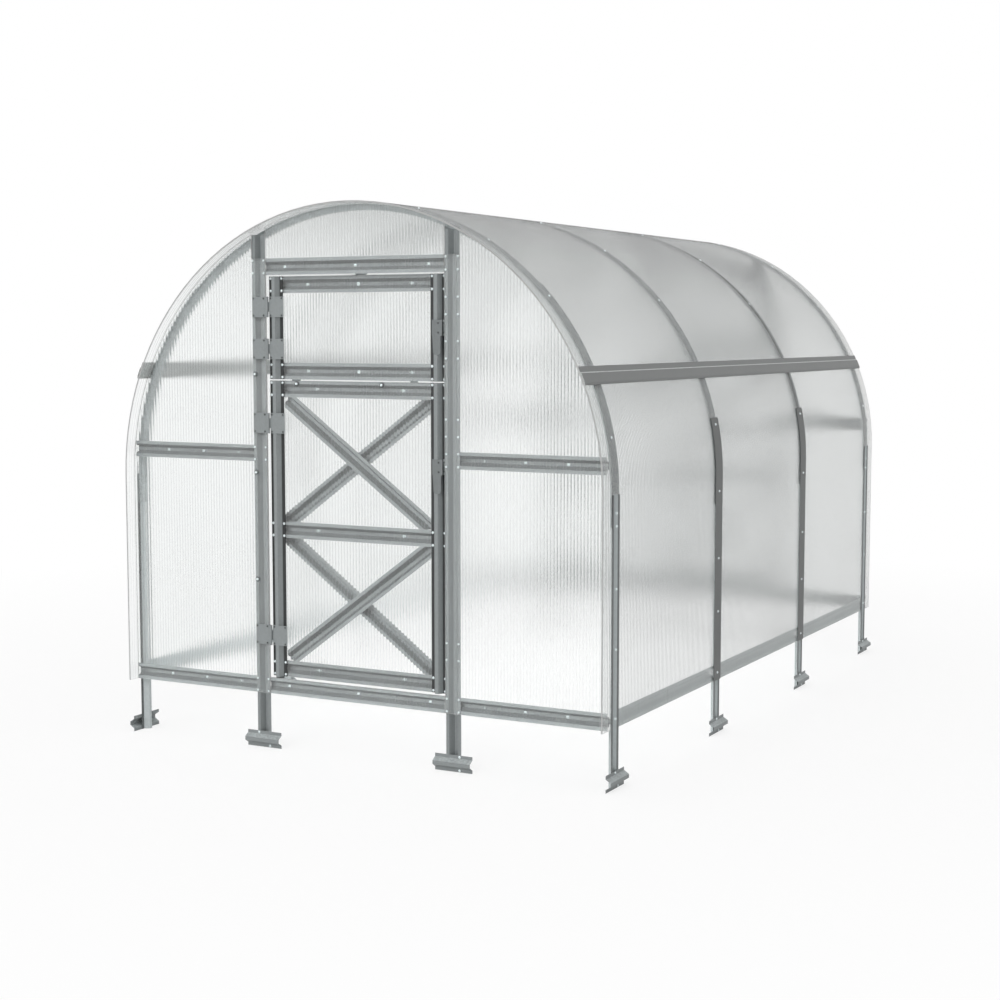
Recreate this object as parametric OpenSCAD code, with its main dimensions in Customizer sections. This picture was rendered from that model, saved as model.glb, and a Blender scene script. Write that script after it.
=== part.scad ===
// Hoop greenhouse: folded steel arches under bent twin-wall sheets, with a two-leaf door in the front gable.
// The origin is on the ground at the middle of the house. The front gable faces -Y and +Z is up.

/* [House] */
// Width over the wall sheets
house_w = 2000; // [1700:10:2600]
// Length between the outer faces of the two gable frames
frame_l = 3020; // [2600:10:3800]
// Height of the legs, up to where the arches spring
leg_h = 1000; // [900:10:1200]
// Distance between the two inner arches
inner_bay = 1010; // [800:10:1200]
// Height of the base rails' lower edge above the ground
ground_gap = 207; // [120:1:240]

/* [Hat profile] */
// Width of the folded profile over its flanges
hat_w = 60; // [54:1:66]
// Depth of the profile
hat_d = 20; // [16:1:26]
// Width of each flange
flange_w = 12; // [9:0.5:14]
// Width of the crown
crown_w = 12; // [8:0.5:14]
// Thickness of the steel
steel_t = 1.2; // [0.8:0.1:1.6]

/* [Sheets] */
// Thickness of the twin-wall sheets
sheet_t = 6; // [4:0.5:8]
// How far the roof sheets stand out past each gable frame
overhang = 50; // [40:1:80]
// Gap between neighbouring sheets, and between a sheet and what it is fitted round
sheet_gap = 1; // [0.5:0.1:2]

/* [Arches] */
// Angle above the horizontal at which the side pieces of an arch end
splice_angle = 45; // [35:1:55]
// How far the top piece of an arch reaches into each side piece
splice_lap = 60; // [40:5:100]
// How far the arches reach down inside the legs
arch_tail = 110; // [80:5:150]

/* [Gable rails] */
// Height of the mid rails' lower edge above where the arches spring
mid_rail_rise = 68; // [20:1:150]
// Height of the sheet between the header and the roof, beside the posts
head_gap = 113; // [90:1:160]
// Gap between the end of a rail and the piece it meets
rail_gap = 0.3; // [0.2:0.1:0.6]
// Clearance of the rails' webs behind the flanges of the posts
lap_gap = 0.5; // [0.3:0.1:1]

/* [Eaves rails and cover strips] */
// Angle above the horizontal of the middle of the eaves rails
eaves_angle = 23.4; // [18:0.1:28]
// Width of the eaves rails
eaves_w = 67; // [60:1:90]
// Width of the eaves rails' upper flange
eaves_flange = 21; // [12:1:24]
// Height of the eaves rails' slanted lower lip
eaves_lip = 8; // [4:0.5:12]
// How far the eaves rails stand out from the sheet
eaves_d = 5; // [4:0.5:12]
// Width of the cover strips over the inner arches
strip_w = 70; // [62:1:80]
// Thickness of the cover strips
strip_t = 2; // [1:0.5:3]
// Angle above the horizontal at which the cover strips end
strip_angle = 12.5; // [8:0.5:16]

/* [Feet] */
// Length of the cross piece at the bottom of each leg
foot_l = 150; // [100:5:200]

/* [Door] */
// Distance of each door post's middle from the middle of the gable
post_x = 404; // [370:1:450]
// Gap round the door leaves at the posts, the header and the sill
door_gap = 5; // [5:0.5:8]
// Height of the upper leaf
upper_leaf_h = 372; // [330:1:450]

/* [Hinges and latches] */
// Height of each hinge
hinge_h = 74; // [60:1:84]
// Reach of each hinge plate from the pin
hinge_reach = 68; // [50:1:70]
// Distance of the hinge pin inside the leaf's edge
pin_inset = 7; // [0:0.5:12]
// Thickness of the hinge and latch plates
plate_t = 2.5; // [1.5:0.5:4]
// Radius of the hinge knuckles
knuckle_r = 5; // [4:0.5:6]
// Radius of the hinge pins
pin_r = 2.5; // [1.5:0.1:3]
// Clearance of the moving knuckle round the pin and between the knuckles
pin_gap = 0.4; // [0.2:0.1:0.6]
// Distance of the lower leaf's hinges from its ends
lower_hinge_inset = 155; // [100:1:250]
// Distance of the upper leaf's hinges from its ends
upper_hinge_inset = 110; // [90:1:120]
// Distance of the lower leaf's latch below its top
latch_drop = 292; // [200:1:400]
// Height of the latch plates
latch_h = 55; // [40:1:70]
// Width of the latch plates
latch_w = 40; // [36:1:48]
// Distance of the latch plates from the leaf's edge
latch_inset = 3; // [0:0.5:8]
// Length of the latches' tongues below the middle of their plates
tongue_l = 93; // [70:1:120]
// Width of the latches' tongues at the top
tongue_w = 34; // [28:1:36]
// How much the tongues narrow on their inner side
tongue_taper = 5; // [0:0.5:8]
// Radius of the tongues' lower corners
tongue_r = 8; // [4:0.5:10]
// Width of the narrow latch plates on the stiles' outer flanges
keeper_w = 10; // [6:0.5:11]

/* [Hidden] */
$fn = 96;

steel_light = [0.66, 0.69, 0.69];
steel_dark = [0.48, 0.50, 0.51];
sheet_white = [0.90, 0.92, 0.93];
roof_grey = [0.78, 0.80, 0.81];
over = 1;

// House: the sheets' outer and inner faces, and the arches' places along the house
sheet_r = house_w / 2;
frame_r = sheet_r - sheet_t;
gable_y = frame_l / 2;
face_y = gable_y + sheet_t;
end_arch_y = gable_y - hat_d - hat_w / 2;
inner_arch_y = inner_bay / 2;
arch_ys = [-end_arch_y, -inner_arch_y, inner_arch_y, end_arch_y];
roof_end_y = gable_y + overhang;

// Hat profile: the slanted webs between the flanges and the crown
flange_in = hat_w / 2 - flange_w;
web_run = flange_in - crown_w / 2;
web_rise = hat_d - steel_t;
web_slope = web_run / web_rise;
web_shift = steel_t * sqrt(web_run * web_run + web_rise * web_rise) / web_rise;
rail_lap = flange_w + steel_t * web_slope - web_shift - lap_gap + rail_gap;

// Arches: how deep one profile has to lie in another for their webs to pass
nest_gap = 0.15;
nest = (web_shift + nest_gap) * web_rise / web_run;

// Legs: their flanges clamp the sheets from outside, and their webs pass through a slot
leg_face = sheet_r + steel_t;
slot_half = flange_in + sheet_gap;

// Gables
door_half = post_x - hat_w / 2;
post_out = post_x + hat_w / 2;
panel_r = frame_r - sheet_gap;
post_top = arc_z(panel_r, post_out);
sill_top = ground_gap + hat_w;
mid_rail_z = leg_h + mid_rail_rise;
header_top = arc_z(panel_r, door_half) - head_gap;
header_z = header_top - hat_w;

// Door leaves: stiles in front of the sheet, rails and braces behind it
leaf_half = door_half - door_gap;
stile_y = -face_y + hat_d;
leaf_rail_y = stile_y + sheet_t;
brace_gap = 0.3;
back_brace_y = leaf_rail_y + hat_d + brace_gap;
leaf_bottom = sill_top + door_gap;
leaf_top = header_z - door_gap;
upper_bottom = leaf_top - upper_leaf_h;
lower_top = upper_bottom - door_gap;
lower_rail_zs = [leaf_bottom, (leaf_bottom + lower_top - hat_w) / 2, lower_top - hat_w];
upper_rail_zs = [upper_bottom, leaf_top - hat_w];
leaf_rail_half = leaf_half - flange_w;
lower_hinge_zs = [leaf_bottom + lower_hinge_inset, lower_top - lower_hinge_inset];
upper_hinge_zs = [upper_bottom + upper_hinge_inset, leaf_top - upper_hinge_inset];

// Hinges: the pin stands in front of the leaf's left edge
pin_x = -leaf_half + pin_inset;
pin_y = -face_y - knuckle_r - over;
hinge_mid_h = hinge_h / 2;
plate_clear = knuckle_r + 1.5;

// Height of the bent sheet of radius r at a distance x from the middle
function arc_z(r, x) = leg_h + sqrt(r * r - x * x);

// Distance from the middle of the bent sheet of radius r at the height z
function arc_x(r, z) = z > leg_h ? sqrt(r * r - (z - leg_h) * (z - leg_h)) : r;

// Outline of the hat profile: flanges on y = 0, crown at y = -hat_d
module hat_section() {
    polygon([
        [-hat_w / 2, 0],
        [-flange_in, 0],
        [-crown_w / 2, -web_rise],
        [crown_w / 2, -web_rise],
        [flange_in, 0],
        [hat_w / 2, 0],
        [hat_w / 2, -steel_t],
        [flange_in - steel_t * web_slope + web_shift, -steel_t],
        [flange_in - hat_d * web_slope + web_shift, -hat_d],
        [-flange_in + hat_d * web_slope - web_shift, -hat_d],
        [-flange_in + steel_t * web_slope - web_shift, -steel_t],
        [-hat_w / 2, -steel_t]
    ]);
}

// Outline of the webs and the crown alone, clear of a flange that lies in front of them
module core_section() {
    depth = steel_t + lap_gap;
    polygon([
        [-flange_in + depth * web_slope, -depth],
        [-crown_w / 2, -web_rise],
        [crown_w / 2, -web_rise],
        [flange_in - depth * web_slope, -depth],
        [flange_in - depth * web_slope + web_shift, -depth],
        [flange_in - hat_d * web_slope + web_shift, -hat_d],
        [-flange_in + hat_d * web_slope - web_shift, -hat_d],
        [-flange_in + depth * web_slope - web_shift, -depth]
    ]);
}

// Straight profile standing up, open towards +Y
module hat_bar(length) {
    linear_extrude(length) hat_section();
}

// Upright profile at (x, y), open towards -Y
module upright(x, y, z0, z1) {
    translate([x, y, z0]) mirror([0, 1, 0]) hat_bar(z1 - z0);
}

// Level profile along X from x0 to x1 with its lower edge at z, open towards -Y
module cross_rail(x0, x1, y, z) {
    translate([x0, y, z + hat_w / 2]) mirror([0, 1, 0]) rotate([0, 90, 0]) hat_bar(x1 - x0);
}

// Rail at a gable post: its webs and crown are longer by lap0 and lap1, to reach behind the flanges there
module lapped_rail(x0, x1, z, lap0, lap1) {
    cross_rail(x0, x1, -gable_y, z);
    translate([x0 - lap0, -gable_y, z + hat_w / 2]) mirror([0, 1, 0]) rotate([0, 90, 0])
        linear_extrude(x1 - x0 + lap0 + lap1) core_section();
}

// Level profile along Y from y0 to y1 with its lower edge at z, open towards +X
module long_rail(x, y0, y1, z) {
    translate([x, y0, z + hat_w / 2]) rotate([-90, -90, 0]) hat_bar(y1 - y0);
}

// The same on both sides of the house
module both_sides() {
    children();
    mirror([1, 0, 0]) children();
}

// Curved piece of an arch at the radius r, from the angle a0 to a1 above the horizontal
module arc_piece(r, a0, a1) {
    rotate([90, 0, 0]) rotate([0, 0, a0])
        rotate_extrude(angle = a1 - a0) translate([r, 0]) rotate(-90) hat_section();
}

// One arch: two side pieces with straight tails, and a top piece nested inside them
module arch(y) {
    lap_angle = splice_lap / frame_r * 180 / PI;
    color(steel_light) translate([0, y, leg_h]) {
        both_sides() {
            arc_piece(frame_r, 0, splice_angle);
            translate([frame_r, 0, -arch_tail]) rotate([0, 0, -90]) hat_bar(arch_tail);
        }
        arc_piece(frame_r - nest, splice_angle - lap_angle, 180 - splice_angle + lap_angle);
    }
}

module front_arch() { arch(arch_ys[0]); }
module second_arch() { arch(arch_ys[1]); }
module third_arch() { arch(arch_ys[2]); }
module rear_arch() { arch(arch_ys[3]); }

// The four legs of the right side
module legs() {
    color(steel_dark) for (y = arch_ys)
        translate([leg_face, y, 0]) rotate([0, 0, -90]) hat_bar(leg_h);
}

module right_legs() { legs(); }
module left_legs() { mirror([1, 0, 0]) legs(); }

// Cross pieces on the outer flanges of the side legs, crown outwards
module side_feet() {
    color(steel_dark) both_sides() for (y = arch_ys)
        translate([leg_face, y + foot_l / 2, 0]) rotate([0, 0, 180]) long_rail(0, 0, foot_l, 0);
}

// Cross pieces on the flanges of one gable's posts, crown outwards
module post_feet() {
    for (x = [-post_x, post_x])
        translate([x - foot_l / 2, -gable_y, hat_w / 2]) rotate([0, 90, 0]) hat_bar(foot_l);
}

module gable_feet() {
    color(steel_dark) post_feet();
    color(steel_dark) mirror([0, 1, 0]) post_feet();
}

// Door posts of the front gable, from the ground to the roof sheet
module gable_posts() {
    color(steel_light) for (x = [-post_x, post_x]) upright(x, -gable_y, 0, post_top);
}

module front_posts() { gable_posts(); }
module rear_posts() { mirror([0, 1, 0]) gable_posts(); }

// Base rails of the side walls, between the legs and behind the sheets
module side_base_rails() {
    color(steel_light) both_sides() for (i = [0 : len(arch_ys) - 2])
        long_rail(frame_r, arch_ys[i] + slot_half, arch_ys[i + 1] - slot_half, ground_gap);
}

// Base rails of the front gable: beside the posts, and the sill between them
module gable_base_rails() {
    span = door_half - rail_gap;
    color(steel_light) both_sides() lapped_rail(post_out + rail_gap, panel_r, ground_gap, rail_lap, 0);
    color(steel_light) lapped_rail(-span, span, ground_gap, rail_lap, rail_lap);
}

module front_base_rails() { gable_base_rails(); }
module rear_base_rails() { mirror([0, 1, 0]) gable_base_rails(); }

// Mid rails of the front gable, cut off under the curve of the sheet
module gable_mid_rails() {
    outer_end = arc_x(panel_r, mid_rail_z + hat_w);
    color(steel_light) both_sides() lapped_rail(post_out + rail_gap, outer_end, mid_rail_z, rail_lap, 0);
}

module front_mid_rails() { gable_mid_rails(); }
module rear_mid_rails() { mirror([0, 1, 0]) gable_mid_rails(); }

// Header over the doorway
module gable_header() {
    span = door_half - rail_gap;
    color(steel_light) lapped_rail(-span, span, header_z, rail_lap, rail_lap);
}

module front_header() { gable_header(); }
module rear_header() { mirror([0, 1, 0]) gable_header(); }

// Folded eaves rail on the right side: a flange on the sheet, a slanted step, a face and a slanted lip
module eaves_rail() {
    top = eaves_w / 2;
    lip = eaves_lip - top;
    fold = top - eaves_flange;
    step = eaves_d - strip_t;
    color(steel_dark) translate([0, roof_end_y, 0]) rotate([90, 0, 0]) linear_extrude(2 * roof_end_y)
        translate([sheet_r * cos(eaves_angle), leg_h + sheet_r * sin(eaves_angle)]) rotate(eaves_angle)
            polygon([
                [0, top],
                [strip_t, top],
                [strip_t, fold],
                [eaves_d, fold - step],
                [eaves_d, lip],
                [strip_t, -top],
                [0, -top],
                [step, lip],
                [step, fold - step - strip_t / 2],
                [0, fold - strip_t / 2]
            ]);
}

module right_eaves_rail() { eaves_rail(); }
module left_eaves_rail() { mirror([1, 0, 0]) eaves_rail(); }

// Flat strips over the legs of the inner arches, bent at the top to follow the sheet
module cover_strips() {
    strip_r = leg_face + rail_gap;
    color(steel_dark) both_sides() for (y = [-inner_arch_y, inner_arch_y]) translate([0, y, 0]) {
        translate([strip_r, -strip_w / 2, ground_gap]) cube([strip_t, strip_w, leg_h - ground_gap]);
        translate([0, 0, leg_h]) rotate([90, 0, 0])
            rotate_extrude(angle = strip_angle)
                translate([strip_r, -strip_w / 2]) square([strip_t, strip_w]);
    }
}

// Outline of the house from z0 up: straight walls and a half circle of radius r
module house_outline(r, z0) {
    intersection() {
        translate([0, leg_h]) circle(r);
        translate([-r, leg_h]) square([2 * r, r]);
    }
    translate([-r, z0]) square([2 * r, leg_h - z0]);
}

// One sheet bent over the house from y0 to y1, slotted for the legs
module roof_sheet(y0, y1) {
    slot_z = ground_gap - over;
    color(roof_grey) difference() {
        translate([0, y1, 0]) rotate([90, 0, 0]) linear_extrude(y1 - y0) difference() {
            house_outline(sheet_r, ground_gap);
            house_outline(frame_r, ground_gap - over);
        }
        for (y = arch_ys) translate([-sheet_r - over, y - slot_half, slot_z])
            cube([2 * sheet_r + 2 * over, 2 * slot_half, leg_h + sheet_gap - slot_z]);
    }
}

module front_roof_sheet() { roof_sheet(-roof_end_y, inner_arch_y - sheet_gap / 2); }
module rear_roof_sheet() { roof_sheet(inner_arch_y + sheet_gap / 2, roof_end_y); }

// Flat sheet on the outside of the front gable frame, from a 2D outline in X and Z
module gable_sheet() {
    color(sheet_white) translate([0, -gable_y, 0]) rotate([90, 0, 0]) linear_extrude(sheet_t) children();
}

// Sheets beside the doorway: over the posts up to the header, and beside them above it
module side_panels() {
    gable_sheet() intersection() {
        house_outline(panel_r, ground_gap);
        both_sides() {
            translate([door_half, ground_gap]) square([sheet_r, header_top - ground_gap]);
            translate([post_out, ground_gap]) square([sheet_r, leg_h + sheet_r]);
        }
    }
}

module front_side_panels() { side_panels(); }
module rear_side_panels() { mirror([0, 1, 0]) side_panels(); }

// Sheet over the header, up to the roof
module top_panel() {
    gable_sheet() intersection() {
        house_outline(panel_r, ground_gap);
        translate([-door_half + sheet_gap, header_z]) square([2 * (door_half - sheet_gap), sheet_r]);
    }
}

module front_top_panel() { top_panel(); }
module rear_top_panel() { mirror([0, 1, 0]) top_panel(); }

// Strip of sheet over the sill
module sill_panel() {
    half = door_half - sheet_gap;
    gable_sheet() translate([-half, ground_gap]) square([2 * half, hat_w]);
}

module front_sill_panel() { sill_panel(); }
module rear_sill_panel() { mirror([0, 1, 0]) sill_panel(); }

// Stiles of a door leaf from z0 to z1, crown to the front
module leaf_stiles(z0, z1) {
    color(steel_dark) both_sides()
        translate([leaf_half - hat_w / 2, stile_y, z0]) hat_bar(z1 - z0);
}

// Level rails of a door leaf, behind its sheet
module leaf_rails(zs) {
    color(steel_light) for (z = zs) cross_rail(-leaf_rail_half, leaf_rail_half, leaf_rail_y, z);
}

// Sheet of a door leaf from z0 to z1, between its stiles and its rails
module leaf_sheet(z0, z1) {
    color(sheet_white) translate([-leaf_rail_half, stile_y, z0])
        cube([2 * leaf_rail_half, sheet_t, z1 - z0]);
}

// Diagonal from the lower left to the upper right of a field, cut off inside a box that is larger by rim
module diagonal(z0, z1, y, rim) {
    field_half = leaf_half - hat_w;
    rise = atan2(z1 - z0, 2 * field_half);
    reach = 2 * leaf_half;
    intersection() {
        translate([0, y, (z0 + z1) / 2]) rotate([0, -rise, 0])
            translate([-reach, 0, 0]) mirror([0, 1, 0]) rotate([0, 90, 0]) hat_bar(2 * reach);
        translate([-field_half - rim, y - over, z0 - rim])
            cube([2 * (field_half + rim), hat_d + 2 * over, z1 - z0 + 2 * rim]);
    }
}

// Crossed braces in the two fields of the lower leaf. The second of each pair lies on the rails' crowns.
module leaf_braces() {
    low = [lower_rail_zs[0] + hat_w + rail_gap, lower_rail_zs[1] - rail_gap];
    high = [lower_rail_zs[1] + hat_w + rail_gap, lower_rail_zs[2] - rail_gap];
    rim = hat_w / 2 - over;
    color(steel_light) {
        diagonal(low[0], low[1], leaf_rail_y, 0);
        mirror([1, 0, 0]) diagonal(low[0], low[1], back_brace_y, rim);
        mirror([1, 0, 0]) diagonal(high[0], high[1], leaf_rail_y, 0);
        diagonal(high[0], high[1], back_brace_y, rim);
    }
}

// Round bar or tube on the hinge axis
module on_pin(z, h, r) {
    translate([pin_x, pin_y, z]) cylinder(h = h, r = r);
}

// Lengths of the outer knuckles and of the moving one between them
outer_h = (hinge_h - 2 * pin_gap) / 4;
inner_h = hinge_h - 2 * pin_gap - 2 * outer_h;

// Fixed half of a hinge: plate on the post, two knuckles and the pin
module fixed_hinge(z) {
    z0 = z - hinge_mid_h;
    tab = pin_x - plate_clear;
    color(steel_light) {
        translate([pin_x - hinge_reach, -face_y - plate_t, z0])
            cube([hinge_reach - plate_clear, plate_t, hinge_h]);
        for (k = [z0, z0 + hinge_h - outer_h]) {
            on_pin(k, outer_h, knuckle_r);
            translate([tab - over, -face_y - plate_t, k]) cube([pin_x - tab + over, plate_t, outer_h]);
        }
        on_pin(z0, hinge_h, pin_r);
    }
}

// Moving half of a hinge: plate on the stile's crown and the middle knuckle
module leaf_hinge(z) {
    z0 = z - hinge_mid_h;
    k = z0 + outer_h + pin_gap;
    tab = pin_x + plate_clear;
    color(steel_light) difference() {
        union() {
            translate([tab, -face_y - plate_t, z0])
                cube([hinge_reach - plate_clear, plate_t, hinge_h]);
            translate([pin_x, -face_y - plate_t, k]) cube([plate_clear + over, plate_t, inner_h]);
            on_pin(k, inner_h, knuckle_r);
        }
        on_pin(k - over, inner_h + 2 * over, pin_r + pin_gap);
    }
}

// Outline of a latch: a plate, and a tongue that hangs from it and narrows on its inner side
module latch_outline() {
    left = -latch_w / 2;
    right = left + tongue_w;
    foot_left = left + tongue_taper;
    corner_z = tongue_r - tongue_l;
    translate([left, -latch_h / 2]) square([latch_w, latch_h]);
    polygon([
        [left, 0],
        [right, 0],
        [right, corner_z],
        [right - tongue_r, -tongue_l],
        [foot_left + tongue_r, -tongue_l],
        [foot_left, corner_z]
    ]);
    translate([right - tongue_r, corner_z]) circle(tongue_r);
    translate([foot_left + tongue_r, corner_z]) circle(tongue_r);
}

// Latch on the right stile: a plate with a tongue on the crown, and a narrow plate on the outer flange
module latch(z) {
    color(steel_light) {
        translate([leaf_half - latch_inset - latch_w / 2, -face_y, z]) rotate([90, 0, 0])
            linear_extrude(plate_t) latch_outline();
        translate([leaf_half - keeper_w, stile_y - steel_t - plate_t, z - latch_h / 2])
            cube([keeper_w, plate_t, latch_h]);
    }
}

module post_hinges() {
    for (z = concat(lower_hinge_zs, upper_hinge_zs)) fixed_hinge(z);
}

module upper_leaf_stiles() { leaf_stiles(upper_bottom, leaf_top); }
module upper_leaf_rails() { leaf_rails(upper_rail_zs); }
module upper_leaf_sheet() { leaf_sheet(upper_bottom, leaf_top); }
module upper_leaf_hinges() { for (z = upper_hinge_zs) leaf_hinge(z); }
module upper_leaf_latch() { latch((upper_bottom + leaf_top) / 2); }

module lower_leaf_stiles() { leaf_stiles(leaf_bottom, lower_top); }
module lower_leaf_rails() { leaf_rails(lower_rail_zs); }
module lower_leaf_braces() { leaf_braces(); }
module lower_leaf_sheet() { leaf_sheet(leaf_bottom, lower_top); }
module lower_leaf_hinges() { for (z = lower_hinge_zs) leaf_hinge(z); }
module lower_leaf_latch() { latch(lower_top - latch_drop); }

// The rear doorway repeats the front one, with its leaves shut
module at_rear() {
    mirror([0, 1, 0]) children();
}

module rear_door_stiles() {
    at_rear() upper_leaf_stiles();
    at_rear() lower_leaf_stiles();
}

module rear_door_rails() {
    at_rear() upper_leaf_rails();
    at_rear() lower_leaf_rails();
}

module rear_door_braces() { at_rear() leaf_braces(); }

module rear_door_sheets() {
    at_rear() upper_leaf_sheet();
    at_rear() lower_leaf_sheet();
}

module rear_door_hinges() {
    at_rear() post_hinges();
    at_rear() upper_leaf_hinges();
    at_rear() lower_leaf_hinges();
}

module rear_door_latches() {
    at_rear() upper_leaf_latch();
    at_rear() lower_leaf_latch();
}

front_arch();
second_arch();
third_arch();
rear_arch();
left_legs();
right_legs();
side_feet();
gable_feet();
front_posts();
rear_posts();
side_base_rails();
front_base_rails();
rear_base_rails();
front_mid_rails();
rear_mid_rails();
front_header();
rear_header();
left_eaves_rail();
right_eaves_rail();
cover_strips();
front_roof_sheet();
rear_roof_sheet();
front_side_panels();
front_top_panel();
front_sill_panel();
rear_side_panels();
rear_top_panel();
rear_sill_panel();
post_hinges();
upper_leaf_stiles();
upper_leaf_rails();
upper_leaf_sheet();
upper_leaf_hinges();
upper_leaf_latch();
lower_leaf_stiles();
lower_leaf_rails();
lower_leaf_braces();
lower_leaf_sheet();
lower_leaf_hinges();
lower_leaf_latch();
rear_door_stiles();
rear_door_rails();
rear_door_braces();
rear_door_sheets();
rear_door_hinges();
rear_door_latches();
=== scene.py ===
"""Looks of the hoop greenhouse: fluted twin-wall sheets, galvanised steel, fasteners and studio light."""
import math

import bmesh
import bpy
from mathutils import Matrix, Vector


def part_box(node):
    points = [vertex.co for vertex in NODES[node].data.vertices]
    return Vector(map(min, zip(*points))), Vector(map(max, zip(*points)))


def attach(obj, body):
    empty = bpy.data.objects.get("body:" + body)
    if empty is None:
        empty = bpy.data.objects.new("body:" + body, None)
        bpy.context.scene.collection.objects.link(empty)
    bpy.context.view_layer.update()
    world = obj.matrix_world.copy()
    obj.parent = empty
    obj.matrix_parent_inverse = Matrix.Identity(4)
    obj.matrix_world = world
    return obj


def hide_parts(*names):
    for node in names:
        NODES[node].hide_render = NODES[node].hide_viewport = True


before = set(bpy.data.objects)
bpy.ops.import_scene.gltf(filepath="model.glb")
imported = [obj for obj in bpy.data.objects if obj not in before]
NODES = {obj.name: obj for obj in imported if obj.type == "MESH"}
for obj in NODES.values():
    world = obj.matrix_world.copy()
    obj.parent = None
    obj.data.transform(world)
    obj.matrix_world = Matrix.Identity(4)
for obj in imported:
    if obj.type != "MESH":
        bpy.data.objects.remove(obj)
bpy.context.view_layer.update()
FRAME, LOWER, UPPER = "frame", "lower_leaf", "upper_leaf"

# Boxes of the nodes that give the sizes, in metres
ROOF_LOW, ROOF_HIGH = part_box("front_roof_sheet")
REAR_ROOF_LOW, REAR_ROOF_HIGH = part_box("rear_roof_sheet")
SILL_LOW, SILL_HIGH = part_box("front_sill_panel")
SIDE_LOW, SIDE_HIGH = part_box("front_side_panels")
POST_LOW, POST_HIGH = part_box("front_posts")
HEADER_LOW, HEADER_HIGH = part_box("front_header")
MID_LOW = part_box("front_mid_rails")[0]
LEG_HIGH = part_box("right_legs")[1]
STILE_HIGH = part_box("lower_leaf_stiles")[1]
STRIP_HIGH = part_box("cover_strips")[1]
LEAF_BOXES = {leaf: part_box(leaf + "_sheet") for leaf in (LOWER, UPPER)}

# The sheets and the folded hat profile
SHEET_R = ROOF_HIGH.x
SHEET_T = SILL_HIGH.y - SILL_LOW.y
HAT_W = HEADER_HIGH.z - HEADER_LOW.z
HAT_D = HEADER_HIGH.y - HEADER_LOW.y
STEEL_T = 0.0012
FLANGE_W = 0.012
FLANGE_OFF = (HAT_W - FLANGE_W) / 2

# Planes from the middle of the house: the gables' sheets and frames, and the sheets of the leaves
FACE_Y = -SILL_LOW.y
GABLE_Y = -POST_LOW.y
LEAF_Y = FACE_Y - HAT_D

# Posts, leaves, legs and arches
PANEL_R = SIDE_HIGH.x
POST_OUT = POST_HIGH.x
POST_X = POST_OUT - HAT_W / 2
DOOR_HALF = POST_OUT - HAT_W
LEAF_HALF = STILE_HIGH.x
LEAF_SPANS = {leaf: (low.z, high.z) for leaf, (low, high) in LEAF_BOXES.items()}
LEG_H = LEG_HIGH.z
END_ARCH_Y = LEG_HIGH.y - HAT_W / 2
INNER_ARCH_Y = (ROOF_HIGH.y + REAR_ROOF_LOW.y) / 2
ARCH_YS = (-END_ARCH_Y, -INNER_ARCH_Y, INNER_ARCH_Y, END_ARCH_Y)

# Flutes of the sheets and their steps, the slots for the legs and the line along the roof's seam
FLUTE = 0.0125
GABLE_DEPTH = 0.00042
ROOF_DEPTH = 0.0008
GABLE_STEPS = 8
ROOF_STEPS = 4
ROOF_ARC_STEPS = 56
END_GAP = 0.2
BREAK_GAP = 0.3
SLOT_HALF = 0.019
SEAM_LINE = 0.0016
SHARP_ANGLE = math.radians(35)

# Numbers of a piece's materials
OPEN_FACE, RIM, SEAM = 0, 1, 2
BRIGHT, DULL, FADED = 0, 1, 2

# Camera of the photograph
CAMERA_AT = (3.4112, -6.8563, 1.5403)
CAMERA_PITCH = 5.4
CAMERA_YAW = 27.836
CAMERA_LENS = 63.886
SENSOR = 36.0

# Slight colours of the greys
STEEL_TINT = (1.0, 1.08, 1.09)
COVER_TINT = (1.0, 1.04, 1.03)
CLEAR_TINT = (0.9975, 1.0025, 1.001)
WHITE = (1.0, 1.0, 1.0, 1.0)

# Zinc coat: scales of its patterns, and how far they spread the tones and the roughness
SHADE_SPAN = (0.25, 0.75)
ROUGH_SPAN = (0.2, 0.8)
SPANGLE_SCALE = 170.0
CLOUD_SCALE = 9.0
GRAIN_SCALE = 420.0
SPANGLE_SHARE = 0.45
TONE_SPREAD = 0.05
# How far the tones of the painted light and shade spread
PAINTED_LIGHT_SPREAD = 0.2
ROUGH_DROP = 0.06
ROUGH_RISE = 0.1
GRAIN_STRENGTH = 0.06
GRAIN_DEPTH = 0.0006

# Limits of the masks for painted light and shade: parts of a normal, shares of the profile's depth, metres,
# degrees
WEB_FACING = 0.75
UPWARD_FACING = 0.3
CROWN_SHARES = (0.85, 0.75)
KEEPER_SHARES = (0.4, 0.2)
STILE_FLANGE = (0.0015, 0.0045)
LEG_FLANGE = (0.0002, 0.001)
EAVES_ANGLE = 23.4
EAVES_FOLD = (0.0085, 0.0128)
FOLD_BLUR = 0.0004

# Twin-wall sheets
SHEET_IOR = 1.5
RIB_LIMIT = -0.4
MILK_TONE = 0.9
MILK_SCALE = 3.0
SHINE_ROUGHNESS = 0.2
SHADOW_TINT = (0.93, 0.94, 0.94, 1.0)
# Gloss colours of the bent sheets: a painted reflection, paler on the walls, darker towards the ridge and
# pale within
WALL_GLOSS = 0.56
RIDGE_GLOSS = 0.25
INNER_GLOSS = 0.88
REFLECTION_FADE_RISE = 0.85
EDGE_SCALE = 260.0
EDGE_SPREAD = 0.15
EDGE_ROUGHNESS = 0.35
EDGE_IOR = 1.2

# Floor and world
FLOOR_HALF = 60.0
FLOOR_DROP = 0.0005
FLOOR_TONE = (0.9, 0.9, 0.9, 1.0)
FLOOR_FADE = (1.8, 5.0)
FLOOR_WHITE = (0.8, 1.0)
WORLD_LEVEL = 0.5


def make_material(name):
    """New material with an empty node tree, and its output node."""
    material = bpy.data.materials.new(name)
    material.use_nodes = True
    material.node_tree.nodes.clear()
    output = material.node_tree.nodes.new("ShaderNodeOutputMaterial")
    return material, output


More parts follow.
